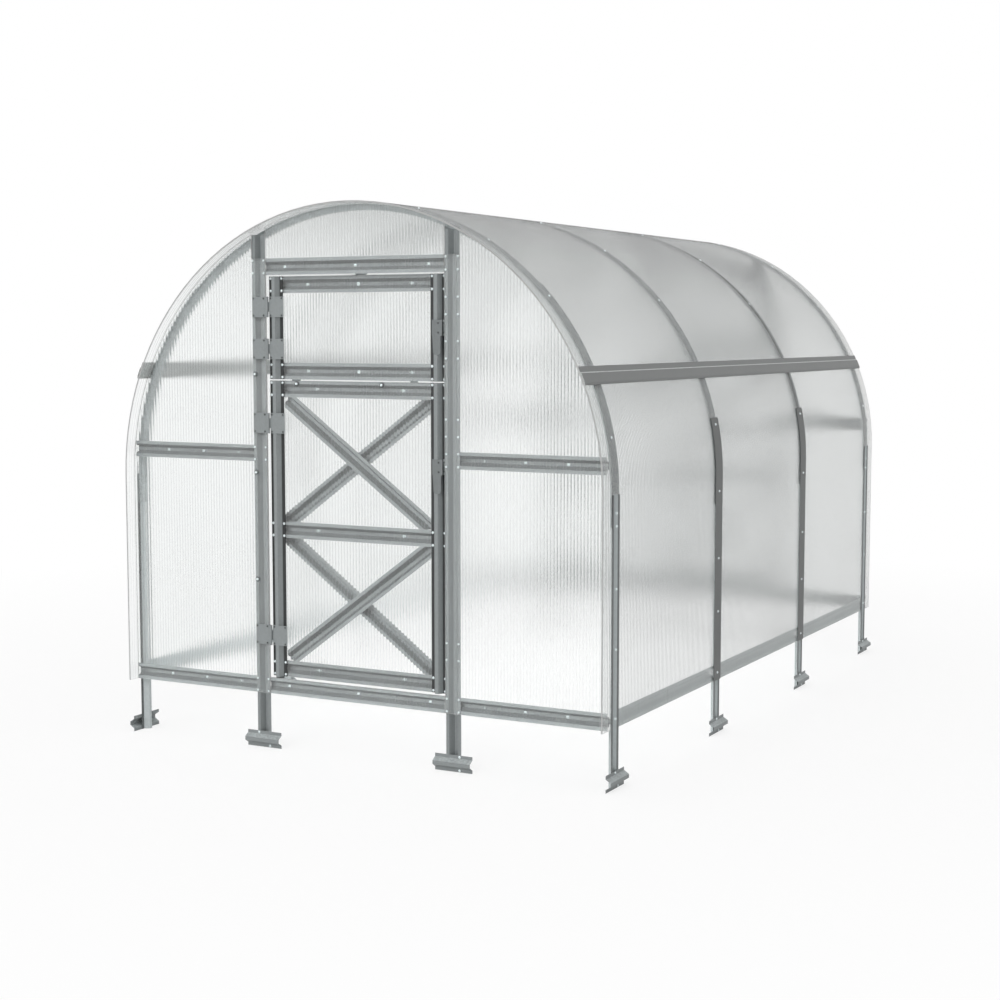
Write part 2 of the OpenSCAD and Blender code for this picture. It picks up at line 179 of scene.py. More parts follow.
def add_node(tree, kind, inputs=None, **settings):
    """Node of that kind with its settings. inputs gives values or links to sockets by name or number."""
    made = tree.nodes.new(kind)
    for key, value in settings.items():
        setattr(made, key, value)
    for key, value in (inputs or {}).items():
        if isinstance(value, bpy.types.NodeSocket):
            tree.links.new(value, made.inputs[key])
        else:
            made.inputs[key].default_value = value
    return made


def math_node(tree, operation, first, second=0.0):
    """Result of a Math node."""
    return add_node(tree, "ShaderNodeMath", {0: first, 1: second}, operation=operation).outputs[0]


def vector_length(tree, vector):
    """Length of a vector."""
    return add_node(tree, "ShaderNodeVectorMath", {0: vector}, operation="LENGTH").outputs["Value"]


def mix_colour(tree, factor, first, second):
    """Result of a Mix node for colours, whose sockets 6 and 7 take the two colours."""
    return add_node(tree, "ShaderNodeMix", {0: factor, 6: first, 7: second}, data_type="RGBA").outputs[2]


def mix_shader(tree, factor, first, second):
    """Mix of two shader nodes."""
    return add_node(tree, "ShaderNodeMixShader", {0: factor, 1: first.outputs[0], 2: second.outputs[0]})


def map_range(tree, value, from_low, from_high, to_low=0.0, to_high=1.0):
    """Result of a Map Range node, kept inside its target range."""
    inputs = {0: value, 1: from_low, 2: from_high, 3: to_low, 4: to_high}
    return add_node(tree, "ShaderNodeMapRange", inputs, clamp=True).outputs[0]


def object_coords(tree):
    """Place of the shaded point, in metres."""
    return add_node(tree, "ShaderNodeTexCoord").outputs["Object"]


def along(tree, vector, axis):
    """Part of a vector along one axis."""
    return add_node(tree, "ShaderNodeSeparateXYZ", {"Vector": vector}).outputs[axis]


def facing_along(tree, axis):
    """Part of the surface's normal along one axis."""
    return along(tree, add_node(tree, "ShaderNodeNewGeometry").outputs["Normal"], axis)


def seen_rays(tree):
    """1 for rays from the camera, also by way of gloss or sheets, and 0 for those that only light things."""
    path = add_node(tree, "ShaderNodeLightPath")
    seen = math_node(tree, "MAXIMUM", path.outputs["Is Camera Ray"], path.outputs["Is Glossy Ray"])
    return math_node(tree, "MAXIMUM", seen, path.outputs["Is Transmission Ray"])


def tinted(value, tint=CLEAR_TINT):
    """Grey of that value with a tint, as an RGBA tuple."""
    return (value * tint[0], value * tint[1], value * tint[2], 1.0)


def axis_mask(axis, full, none):
    """Mask that is 1 where the distance along an axis is full, and falls to 0 where it is none."""
    def mask(tree, coords):
        distance = math_node(tree, "ABSOLUTE", along(tree, coords, axis))
        return map_range(tree, distance, full, none, 1.0, 0.0)
    return mask


def depth_mask(front, shares):
    """Mask by the depth behind a plane: 1 at the first share of the profile's depth, 0 at the second."""
    full, none = shares
    return axis_mask(1, front - full * HAT_D, front - none * HAT_D)


def fold_highlight_mask(degrees, low, high):
    """Mask of a fold along the house, from low to high above the line at that angle on the bent sheet, where
    a painted highlight goes.
    """
    sine, cosine = math.sin(math.radians(degrees)), math.cos(math.radians(degrees))

    def mask(tree, coords):
        out = math_node(tree, "MULTIPLY", math_node(tree, "ABSOLUTE", along(tree, coords, 0)), -sine)
        up = math_node(tree, "SUBTRACT", along(tree, coords, 2), LEG_H)
        across = math_node(tree, "ADD", out, math_node(tree, "MULTIPLY", up, cosine))
        above = map_range(tree, across, low - FOLD_BLUR, low + FOLD_BLUR)
        below = map_range(tree, across, high - FOLD_BLUR, high + FOLD_BLUR, 1.0, 0.0)
        return math_node(tree, "MULTIPLY", above, below)
    return mask


def web_painted_shade_mask(tree, coords):
    """Mask of the faces that lean away from the gable's plane: the webs and cut ends of its profiles, which
    get painted shade.
    """
    return math_node(tree, "LESS_THAN", math_node(tree, "ABSOLUTE", facing_along(tree, 1)), WEB_FACING)


def upward_painted_light_mask(tree, coords):
    """Mask of the faces that lean upwards: the upper webs of the level profiles, painted lighter as painted
    light from above.
    """
    return math_node(tree, "GREATER_THAN", facing_along(tree, 2), UPWARD_FACING)


def inward_painted_light_mask(tree, coords):
    """Mask of the faces that look towards the middle of the house, which are painted lighter: painted light.
    """
    outward = math_node(tree, "MULTIPLY", along(tree, coords, 0), facing_along(tree, 0))
    return math_node(tree, "LESS_THAN", outward, 0.0)


def galvanised(name, tone, tint=STEEL_TINT, painted_light_tones=(), metallic=0.1, roughness=0.45):
    """Zinc-coated steel with spangle, clouds and fine grain. Its other tones with their masks are painted
    light and shade.
    """
    material, output = make_material(name)
    tree = material.node_tree
    coords = object_coords(tree)
    spangle_inputs = {"Vector": coords, "Scale": SPANGLE_SCALE}
    spangle = add_node(tree, "ShaderNodeTexVoronoi", spangle_inputs, feature="F1")
    cloud_inputs = {"Vector": coords, "Scale": CLOUD_SCALE, "Detail": 5.0, "Roughness": 0.6}
    clouds = add_node(tree, "ShaderNodeTexNoise", cloud_inputs)
    grain = add_node(tree, "ShaderNodeTexNoise", {"Vector": coords, "Scale": GRAIN_SCALE, "Detail": 3.0})
    flakes = add_node(tree, "ShaderNodeSeparateColor", {"Color": spangle.outputs["Color"]}).outputs[0]
    flake_part = math_node(tree, "MULTIPLY", flakes, SPANGLE_SHARE)
    cloud_part = math_node(tree, "MULTIPLY", clouds.outputs[0], 1.0 - SPANGLE_SHARE)
    blend = math_node(tree, "ADD", flake_part, cloud_part)
    shade = map_range(tree, blend, *SHADE_SPAN)

    def shaded(grey, spread):
        return mix_colour(tree, shade, tinted(grey * (1 - spread), tint), tinted(grey * (1 + spread), tint))

    colour = shaded(tone, TONE_SPREAD)
    # Painted light and shade: the masks lay lighter or darker tones over the steel
    for painted_light_tone, mask in painted_light_tones:
        colour = mix_colour(tree, mask(tree, coords), colour, shaded(painted_light_tone, PAINTED_LIGHT_SPREAD))
    rough = map_range(tree, blend, *ROUGH_SPAN, roughness - ROUGH_DROP, roughness + ROUGH_RISE)
    bump_inputs = {"Height": grain.outputs[0], "Strength": GRAIN_STRENGTH, "Distance": GRAIN_DEPTH}
    bump = add_node(tree, "ShaderNodeBump", bump_inputs).outputs[0]
    inputs = {"Base Color": colour, "Metallic": metallic, "Roughness": rough, "Normal": bump}
    shader = add_node(tree, "ShaderNodeBsdfPrincipled", inputs)
    tree.links.new(shader.outputs[0], output.inputs[0])
    return material


def bent_painted_reflection(tree, coords):
    """Colour of a bent sheet's gloss, a painted reflection: pale within, and darker towards the ridge on the
    outer face.
    """
    up = math_node(tree, "MAXIMUM", math_node(tree, "SUBTRACT", along(tree, coords, 2), LEG_H), 0.0)
    across = add_node(tree, "ShaderNodeCombineXYZ", {"X": along(tree, coords, 0), "Y": up})
    radius = vector_length(tree, across.outputs[0])
    outer_face = math_node(tree, "GREATER_THAN", radius, SHEET_R - SHEET_T / 2)
    from_within = add_node(tree, "ShaderNodeNewGeometry").outputs["Backfacing"]
    outside = math_node(tree, "MULTIPLY", outer_face, math_node(tree, "SUBTRACT", 1.0, from_within))
    rise = map_range(tree, up, 0.0, REFLECTION_FADE_RISE)
    outer_colour = mix_colour(tree, rise, tinted(WALL_GLOSS), tinted(RIDGE_GLOSS))
    return mix_colour(tree, outside, tinted(INNER_GLOSS), outer_colour)


def flat_gloss(tree, coords):
    """Colour of a flat sheet's gloss: the same all over."""
    return tinted(1.0)


def twin_wall(name, clearness, haze, rib_haze, across_axis, roughness, gloss):
    """Twin-wall polycarbonate: clear between the ribs and milky on them. Shadow rays pass it.

    haze and rib_haze are shares of milk, across_axis runs across the flutes, and gloss colours the shine.
    """
    material, output = make_material(name)
    tree = material.node_tree
    coords = object_coords(tree)
    phase = math_node(tree, "MULTIPLY", along(tree, coords, across_axis), math.tau / FLUTE)
    rib = map_range(tree, math_node(tree, "COSINE", phase), -1.0, RIB_LIMIT, 1.0, 0.0)
    cloud = add_node(tree, "ShaderNodeTexNoise", {"Vector": coords, "Scale": MILK_SCALE, "Detail": 2.0})
    milk = math_node(tree, "MULTIPLY", map_range(tree, rib, 0.0, 1.0, haze, rib_haze), cloud.outputs[0])
    clear_inputs = {"Color": tinted(clearness), "Roughness": roughness, "IOR": SHEET_IOR}
    clear = add_node(tree, "ShaderNodeBsdfRefraction", clear_inputs)
    front = add_node(tree, "ShaderNodeBsdfDiffuse", {"Color": tinted(MILK_TONE)})
    back = add_node(tree, "ShaderNodeBsdfTranslucent", {"Color": tinted(MILK_TONE)})
    body = mix_shader(tree, milk, clear, mix_shader(tree, 0.5, front, back))
    shine_inputs = {"Color": gloss(tree, coords), "Roughness": SHINE_ROUGHNESS}
    shine = add_node(tree, "ShaderNodeBsdfAnisotropic", shine_inputs)
    edge_on = add_node(tree, "ShaderNodeFresnel", {"IOR": SHEET_IOR}).outputs[0]
    glossy = mix_shader(tree, edge_on, body, shine)
    passing = add_node(tree, "ShaderNodeBsdfTransparent", {"Color": SHADOW_TINT})
    shadow = add_node(tree, "ShaderNodeLightPath").outputs["Is Shadow Ray"]
    mixed = mix_shader(tree, shadow, glossy, passing)
    tree.links.new(mixed.outputs[0], output.inputs[0])
    return material


def sheet_edge(name, tone, clear):
    """Cut edge of a sheet with fine uneven bands. clear is the share of light that it lets through."""
    material, output = make_material(name)
    tree = material.node_tree
    noise_inputs = {"Vector": object_coords(tree), "Scale": EDGE_SCALE, "Detail": 2.0}
    bands = add_node(tree, "ShaderNodeTexNoise", noise_inputs).outputs[0]
    colour = mix_colour(tree, bands, tinted(tone * (1 - EDGE_SPREAD)), tinted(tone * (1 + EDGE_SPREAD)))
    inputs = {
        "Base Color": colour, "Roughness": EDGE_ROUGHNESS, "IOR": EDGE_IOR, "Transmission Weight": clear,
    }
    shader = add_node(tree, "ShaderNodeBsdfPrincipled", inputs)
    tree.links.new(shader.outputs[0], output.inputs[0])
    return material


class Solid:
    """Collects corners and faces, and merges corners that lie in one place."""

    def __init__(self):
        self.corners = []
        self.index = {}
        self.faces = []
        self.kinds = []

    def corner(self, point):
        """Number of the corner at that point, which is added if it is new."""
        key = tuple(round(c * 1e6) for c in point)
        if key not in self.index:
            self.index[key] = len(self.corners)
            self.corners.append(tuple(point))
        return self.index[key]

    def face(self, points, kind):
        """Add a face with that material number, unless its points fall together."""
        loop = []
        for point in points:
            number = self.corner(point)
            if number not in loop:
                loop.append(number)
        if len(loop) > 2:
            self.faces.append(loop)
            self.kinds.append(kind)

    def finish(self, name, materials, body, smooth_kinds=(0,)):
        """Make the piece, which rides on the body. Faces of the smooth kinds are shaded smooth."""
        mesh = bpy.data.meshes.new(name)
        mesh.from_pydata(self.corners, [], self.faces)
        for material in materials:
            mesh.materials.append(material)
        for polygon, kind in zip(mesh.polygons, self.kinds):
            polygon.material_index = kind
            polygon.use_smooth = kind in smooth_kinds
        work = bmesh.new()
        work.from_mesh(mesh)
        bmesh.ops.recalc_face_normals(work, faces=work.faces)
        for edge in work.edges:
            edge.smooth = edge.calc_face_angle(0.0) < SHARP_ANGLE
        work.to_mesh(mesh)
        work.free()
        piece = bpy.data.objects.new(name, mesh)
        bpy.context.scene.collection.objects.link(piece)
        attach(piece, body)
        return piece


def flute_offset(u, depth):
    """How far the sheet's faces lie in from their crests at the distance u across the flutes."""
    return depth * (1 - math.cos(math.tau * u / FLUTE)) / 2


def flute_columns(low, high, steps, breaks=()):
    """Places across the flutes from low to high, with the breaks among them and no slivers beside them."""
    step = FLUTE / steps
    first = math.ceil(low / step + END_GAP)
    last = math.floor(high / step - END_GAP)
    fixed = {low, high}
    fixed.update(b for b in breaks if low < b < high)
    regular = [k * step for k in range(first, last + 1)]
    return sorted(fixed.union(u for u in regular if all(abs(u - f) > step * BREAK_GAP for f in fixed)))


def add_slab(solid, columns, rows, place, present, seam=None):
    """Closed slab over a grid of cells. place(i, j, side) is a corner on face 0 (outer) or 1 (inner).

    seam is the first or the last column, and takes the seam's material on its rim and its outer face.
    """
    def here(i, j):
        return 0 <= i < len(columns) - 1 and 0 <= j < rows - 1 and present(i, j)

    for i in range(len(columns) - 1):
        for j in range(rows - 1):
            if not here(i, j):
                continue
            ring = ((i, j), (i + 1, j), (i + 1, j + 1), (i, j + 1))
            solid.face([place(a, b, 0) for a, b in ring], SEAM if seam in (i, i + 1) else OPEN_FACE)
            solid.face([place(a, b, 1) for a, b in reversed(ring)], OPEN_FACE)
            beside = ((i, j - 1), (i + 1, j), (i, j + 1), (i - 1, j))
            for k in range(4):
                if here(*beside[k]):
                    continue
                a, b = ring[k], ring[(k + 1) % 4]
                on_seam = seam is not None and a[0] == seam and b[0] == seam
                rim = [place(*a, 0), place(*a, 1), place(*b, 1), place(*b, 0)]
                solid.face(rim, SEAM if on_seam else RIM)


def roof_sheet(name, y0, y1, seam_y, materials):
    """One sheet bent over the house, fluted along its bend, with slots for the legs."""
    breaks = [y + s * SLOT_HALF for y in ARCH_YS for s in (-1, 1)]
    breaks += [seam_y - SEAM_LINE, seam_y + SEAM_LINE]
    columns = flute_columns(y0, y1, ROOF_STEPS, breaks)
    angles = [math.pi * k / ROOF_ARC_STEPS for k in range(ROOF_ARC_STEPS + 1)]
    last_row = len(angles) + 1

    def place(i, j, side):
        inset = flute_offset(columns[i], ROOF_DEPTH)
        radius = SHEET_R - inset if side == 0 else SHEET_R - SHEET_T + inset
        if j in (0, last_row):
            return (radius if j == 0 else -radius, columns[i], ROOF_LOW.z)
        angle = angles[j - 1]
        return (radius * math.cos(angle), columns[i], LEG_H + radius * math.sin(angle))

    def present(i, j):
        middle = (columns[i] + columns[i + 1]) / 2
        wall = j in (0, last_row - 1)
        return not (wall and any(abs(middle - y) < SLOT_HALF for y in ARCH_YS))

    solid = Solid()
    add_slab(solid, columns, last_row + 1, place, present, columns.index(seam_y))
    return solid.finish(name, materials, FRAME)


def arc_top(x):
    """Height of the gable panels' round edge at the distance x from the middle."""
    return LEG_H + math.sqrt(max(PANEL_R * PANEL_R - x * x, 0.0))


def whole(i, j):
    """Cells of a slab without openings."""
    return True


def add_flat_sheet(solid, columns, heights, present, front_y, inward):
    """Flat fluted sheet behind the plane front_y. heights(x) lists the heights of its rows."""
    rows = [heights(x) for x in columns]

    def place(i, j, side):
        inset = flute_offset(columns[i], GABLE_DEPTH)
        depth = inset if side == 0 else SHEET_T - inset
        return (columns[i], front_y + inward * depth, rows[i][j])

    add_slab(solid, columns, len(rows[0]), place, present)


def side_panels(name, end, materials):
    """The two sheets beside one doorway: over the posts up to the header, beside them above it."""
    header_top = HEADER_HIGH.z
    shoulder = math.sqrt(PANEL_R ** 2 - (header_top - LEG_H) ** 2)
    distances = flute_columns(DOOR_HALF, PANEL_R, GABLE_STEPS, (POST_OUT, shoulder))

    def heights(x):
        top = arc_top(abs(x))
        return (SIDE_LOW.z, min(header_top, top), top)

    solid = Solid()
    for side in (-1, 1):
        columns = sorted(side * x for x in distances)

        def present(i, j):
            middle = abs(columns[i] + columns[i + 1]) / 2
            return j == 0 or POST_OUT < middle < shoulder

        add_flat_sheet(solid, columns, heights, present, end * FACE_Y, -end)
    return solid.finish(name, materials, FRAME)


def plain_panel(name, box, end, materials, body, round_top=False):
    """Fluted sheet in a node's box, with a straight or a round upper edge."""
    low, high = box

    def heights(x):
        return (low.z, arc_top(x) if round_top else high.z)

    solid = Solid()
    columns = flute_columns(low.x, high.x, GABLE_STEPS)
    add_flat_sheet(solid, columns, heights, whole, low.y if end < 0 else high.y, -end)
    return solid.finish(name, materials, body)


def rear_door_sheets(name, materials):
    """The sheets of the rear door, which repeat those of the front leaves."""
    solid = Solid()
    for low, high in LEAF_BOXES.values():
        columns = flute_columns(low.x, high.x, GABLE_STEPS)

        def heights(x):
            return (low.z, high.z)

        add_flat_sheet(solid, columns, heights, whole, -low.y, -1)
    return solid.finish(name, materials, FRAME)


def set_material(names, material):
    """Give the nodes one material."""
    for name in names:
        mesh = NODES[name].data
        mesh.materials.clear()
        mesh.materials.append(material)


def ending(*words):
    """Names of the nodes that end with one of the words."""
    return [name for name in NODES if name.endswith(words)]


def holding(word):
    """Names of the nodes that hold the word."""
    return [name for name in NODES if word in name]


# Steel of the arches, the legs and the feet
arch_steel = galvanised("galvanised_arches", 0.25)
# The end arches' inner faces are painted lighter: painted light
end_arch_steel = galvanised("galvanised_end_arches", 0.28, painted_light_tones=[(0.42, inward_painted_light_mask)])
# The legs' flanges are painted dark and their webs pale: painted shade on the sides, painted light on the
# front
leg_flange_shade = axis_mask(0, SHEET_R - LEG_FLANGE[0], SHEET_R - LEG_FLANGE[1])
leg_steel = galvanised("galvanised_legs", 0.5, painted_light_tones=[(0.13, leg_flange_shade)])
# The feet's upward faces are painted lighter: painted light from above
foot_steel = galvanised("galvanised_feet", 0.235, painted_light_tones=[(0.36, upward_painted_light_mask)])
set_material(["second_arch", "third_arch"], arch_steel)
set_material(["front_arch", "rear_arch"], end_arch_steel)
set_material(["left_legs", "right_legs"], leg_steel)
set_material(["side_feet", "gable_feet"], foot_steel)

# Steel of the gables, with painted shade on the crowns and webs of the level rails
gable_crown_shade = depth_mask(GABLE_Y, CROWN_SHARES)
rail_shade_tones = [(0.21, gable_crown_shade), (0.145, web_painted_shade_mask)]
gable_base_shade_tones = [(0.25, gable_crown_shade), (0.17, web_painted_shade_mask)]
post_steel = galvanised("galvanised_posts", 0.225)
rail_steel = galvanised("galvanised_rails", 0.255, painted_light_tones=rail_shade_tones)
gable_base_steel = galvanised("galvanised_gable_bases", 0.3, painted_light_tones=gable_base_shade_tones)
set_material(["front_posts", "rear_posts"], post_steel)
set_material(ending("_mid_rails", "_header"), rail_steel)
set_material(["front_base_rails", "rear_base_rails"], gable_base_steel)

# Steel of the leaves and the rear door
# Painted shade on the crowns and webs of the leaves' rails, and on the braces' webs
leaf_crown_shade = depth_mask(GABLE_Y - HAT_D, CROWN_SHARES)
leaf_rail_shade_tones = [(0.21, leaf_crown_shade), (0.145, web_painted_shade_mask)]
# The stiles' recessed flanges are painted nearly black: painted shade
stile_flange_shade = axis_mask(1, LEAF_Y + STILE_FLANGE[0], LEAF_Y + STILE_FLANGE[1])
# The latch's keeper, which lies in the plate's shade, is painted lighter: painted light
keeper_painted_light = depth_mask(FACE_Y, KEEPER_SHARES)
leaf_rail_steel = galvanised("galvanised_leaf_rails", 0.255, painted_light_tones=leaf_rail_shade_tones)
brace_steel = galvanised("galvanised_braces", 0.24, painted_light_tones=[(0.13, web_painted_shade_mask)])
stile_steel = galvanised("galvanised_stiles", 0.25, painted_light_tones=[(0.03, stile_flange_shade)])
hinge_steel = galvanised("zinc_plated", 0.25, metallic=0.2, roughness=0.4)
latch_steel = galvanised("latch_plates", 0.18, painted_light_tones=[(0.42, keeper_painted_light)], metallic=0.2, roughness=0.4)
set_material(ending("_leaf_rails", "_door_rails"), leaf_rail_steel)
set_material(ending("_braces"), brace_steel)
set_material(["upper_leaf_stiles", "lower_leaf_stiles", "rear_door_stiles"], stile_steel)
set_material(holding("hinges"), hinge_steel)
set_material(holding("latch"), latch_steel)

# Steel along the sides
# The eaves rails have a painted highlight along their fold and painted light on their inner sides
eaves_light_tones = [(0.5, fold_highlight_mask(EAVES_ANGLE, *EAVES_FOLD)), (0.7, inward_painted_light_mask)]
side_base_steel = galvanised("galvanised_base_rails", 0.55)
cover_steel = galvanised("galvanised_covers", 0.14, COVER_TINT, roughness=0.55)
eaves_steel = galvanised("galvanised_eaves", 0.19, COVER_TINT, eaves_light_tones, roughness=0.5)
set_material(["side_base_rails"], side_base_steel)
set_material(["cover_strips"], cover_steel)
set_material(["left_eaves_rail", "right_eaves_rail"], eaves_steel)

# Fasteners
bright = galvanised("zinc_screws", 0.88, metallic=0.3, roughness=0.25)
dull = galvanised("dull_screws", 0.1, metallic=0.5, roughness=0.4)
faded = galvanised("faded_screws", 0.75, metallic=0.2, roughness=0.3)

# Sheets
gable_clear = twin_wall(
    "twin_wall_gable", clearness=0.997, haze=0.01, rib_haze=0.3,
    across_axis=0, roughness=0.2, gloss=flat_gloss,
)
roof_clear = twin_wall(
    "twin_wall_roof", clearness=0.99, haze=0.02, rib_haze=0.16,
    across_axis=1, roughness=0.16, gloss=bent_painted_reflection,
)
cut_edge = sheet_edge("sheet_edges", tone=0.62, clear=0.35)
seam_edge = sheet_edge("seam_edges", tone=0.015, clear=0.0)
ROOF_MATERIALS = [roof_clear, cut_edge, seam_edge]
GABLE_MATERIALS = [gable_clear, cut_edge]

piece = roof_sheet("front_roof_sheet_fluted", ROOF_LOW.y, ROOF_HIGH.y, ROOF_HIGH.y, ROOF_MATERIALS)
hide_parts("front_roof_sheet")
rear_seam = REAR_ROOF_LOW.y
piece = roof_sheet("rear_roof_sheet_fluted", rear_seam, REAR_ROOF_HIGH.y, rear_seam, ROOF_MATERIALS)
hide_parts("rear_roof_sheet")
for where, end in (("front", -1), ("rear", 1)):
    piece = side_panels(where + "_side_panels_fluted", end, GABLE_MATERIALS)
    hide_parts(where + "_side_panels")
    top_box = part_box(where + "_top_panel")
    piece = plain_panel(where + "_top_panel_fluted", top_box, end, GABLE_MATERIALS, FRAME, True)
    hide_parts(where + "_top_panel")
    sill_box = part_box(where + "_sill_panel")
    piece = plain_panel(where + "_sill_panel_fluted", sill_box, end, GABLE_MATERIALS, FRAME)
    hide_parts(where + "_sill_panel")
for leaf, leaf_box in LEAF_BOXES.items():
    piece = plain_panel(leaf + "_sheet_fluted", leaf_box, -1, GABLE_MATERIALS, leaf)
    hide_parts(leaf + "_sheet")
piece = rear_door_sheets("rear_door_sheets_fluted", GABLE_MATERIALS)
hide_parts("rear_door_sheets")

# Radii of the fasteners, and their rings as shares of the radius with heights over the face
SCREW_R = 0.0031
PLATE_SCREW_R = 0.0024
POST_SCREW_R = 0.0028
RAIL_SCREW_R = 0.004
BOLT_R = 0.005
SCREW_WASHER = ((1.55, -0.0005), (1.55, 0.0007), (1.35, 0.001), (1.0, 0.001))
SCREW_HEAD = ((1.0, 0.0011), (0.96, 0.0022), (0.72, 0.0032), (0.34, 0.0036), (0.3, 0.0022))
BOLT_WASHER = ((1.9, -0.0005), (1.9, 0.0013), (1.8, 0.0016), (0.9, 0.0016))
BOLT_HEAD = ((1.0, 0.0012), (1.0, 0.0052), (0.86, 0.0058))
SCREW_SIDES = 14
WASHER_SIDES = 18
HEXAGON = 6

# Places of the fasteners on the legs and arches
LEG_SCREW_ZS = (0.237, 0.474, 0.68, 0.937)
SPLICE_SCREW_Z = 0.893
WEB_DEPTH = 0.0056
WEB_OFF = 0.0144
WEB_NORMAL = (0.538, -0.843)
ARCH_SCREW_ANGLES = (11.0, 41.5, 58.75, 76.0, 104.0, 121.25, 138.5, 169.0)
STRIP_END_ANGLE = 12.5

# Places of the fasteners on the gables and leaves
PAIR = 0.0225
HINGE_PAIR = 0.03
HEADER_SCREW_XS = (-0.3, 0.0, 0.3)
MID_RAIL_SCREW_XS = (0.52, 0.68, 0.84)
RAIL_SCREW_XS = {LOWER: (-0.182, 0.182), UPPER: (-0.219, 0.0, 0.219)}
MEETING_BOLT_XS = (-0.253, 0.108)
MEETING_BOLT_DROP = 0.0105
POST_BOLT_ZS = (0.631, 1.028, 1.388)
POST_BOLT_IN = 0.006
HINGE_INSETS = {LOWER: 0.155, UPPER: 0.11}
HINGE_PLATE_HALF = 0.04
POST_HINGE_XS = (-0.425, -0.38)
LEAF_HINGE_XS = (-0.349, -0.301)
HINGE_SCREW_RISE = 0.031
PLATE_FACE = 0.0025
LATCH_DROP = 0.292
LATCH_SCREW_X = 0.351
LATCH_SCREW_RISE = 0.0165
KEEPER_SCREW_X = 0.3645


def axes(normal):
    """The normal at length 1, and two directions square to it and to each other."""
    n = Vector(normal).normalized()
    helper = Vector((0, 0, 1)) if abs(n.z) < 0.9 else Vector((1, 0, 0))
    a = n.cross(helper).normalized()
    return n, a, n.cross(a).normalized()


def add_ring_stack(solid, at, normal, size, rings, sides, kind):
    """Turned shape: rings of (share of the size, height) along the normal, closed at both ends."""
    n, a, b = axes(normal)
    at = Vector(at)

    def point(k, share, height):
        angle = math.tau * k / sides
        return at + n * height + (a * math.cos(angle) + b * math.sin(angle)) * (size * share)

    solid.face([point(k, *rings[0]) for k in range(sides)], kind)
    for lower, upper in zip(rings, rings[1:]):
        for k in range(sides):
            ring = [point(k, *lower), point(k + 1, *lower), point(k + 1, *upper), point(k, *upper)]
            solid.face(ring, kind)
    solid.face([point(k, *rings[-1]) for k in range(sides)], kind)


def add_screw(solid, at, normal, size=SCREW_R, kind=BRIGHT):
    """Pan-head screw on a washer."""
    add_ring_stack(solid, at, normal, size, SCREW_WASHER + SCREW_HEAD, SCREW_SIDES, kind)


def add_bolt(solid, at, normal):
    """Bright hexagon-head bolt on a dull washer."""
    add_ring_stack(solid, at, normal, BOLT_R, BOLT_WASHER, WASHER_SIDES, DULL)
    add_ring_stack(solid, at, normal, BOLT_R, BOLT_HEAD, HEXAGON, BRIGHT)


def add_plate_screws(solid, xs, face, heights, rise, end):
    """Dull screws of the flat plates on a face: above and below each height, at each x."""
    for z in heights:
        for x in xs:
            for shift in (-rise, rise):
                at = (x, face + end * PLATE_FACE, z + shift)
                add_screw(solid, at, (0, end, 0), PLATE_SCREW_R, DULL)


def hinge_heights(leaf):
    """Heights of the middles of a leaf's two hinges."""
    z0, z1 = LEAF_SPANS[leaf]
    return (z0 + HINGE_INSETS[leaf], z1 - HINGE_INSETS[leaf])


def rail_middles(leaf):
    """Heights of the middles of a leaf's level rails."""
    z0, z1 = LEAF_SPANS[leaf]
    ends = [z0 + HAT_W / 2, z1 - HAT_W / 2]
    return ends + [(z0 + z1) / 2] if leaf == LOWER else ends


def latch_height(leaf):
    """Height of the middle of a leaf's latch."""
    z0, z1 = LEAF_SPANS[leaf]
    return z1 - LATCH_DROP if leaf == LOWER else (z0 + z1) / 2


def add_gable_fasteners(solid, end):
    """Fasteners of one gable: over the posts' flanges, in the rails' crowns and the hinges' post plates."""
    normal = (0, end, 0)
    face = end * FACE_Y
    crown = end * (GABLE_Y - HAT_D + STEEL_T)
    base = SIDE_LOW.z + HAT_W / 2
    middle = MID_LOW.z + HAT_W / 2
    header = HEADER_LOW.z + HAT_W / 2
    hinge_zs = [z for leaf in LEAF_SPANS for z in hinge_heights(leaf)]
    pairs = [z + s * PAIR for z in (base, middle, header) for s in (-1, 1)]
    pairs += [z + s * HINGE_PAIR for z in hinge_zs for s in (-1, 1)]
    for side in (-1, 1):
        for z in pairs:
            under_plate = side < 0 and any(abs(z - h) < HINGE_PLATE_HALF for h in hinge_zs)
            if under_plate:
                continue
            for off in (-FLANGE_OFF, FLANGE_OFF):
                add_screw(solid, (side * (POST_X + off), face, z), normal, POST_SCREW_R, FADED)
        for x in MID_RAIL_SCREW_XS:
            add_screw(solid, (side * x, crown, middle), normal)
            add_screw(solid, (side * x, crown, base), normal)
    for z in POST_BOLT_ZS:
        add_bolt(solid, (-POST_X - FLANGE_OFF + POST_BOLT_IN, face, z), normal)
    for x in HEADER_SCREW_XS:
        add_screw(solid, (x, crown, header), normal)
        add_screw(solid, (x, crown, base), normal)
    add_plate_screws(solid, POST_HINGE_XS, face, hinge_zs, HINGE_SCREW_RISE, end)


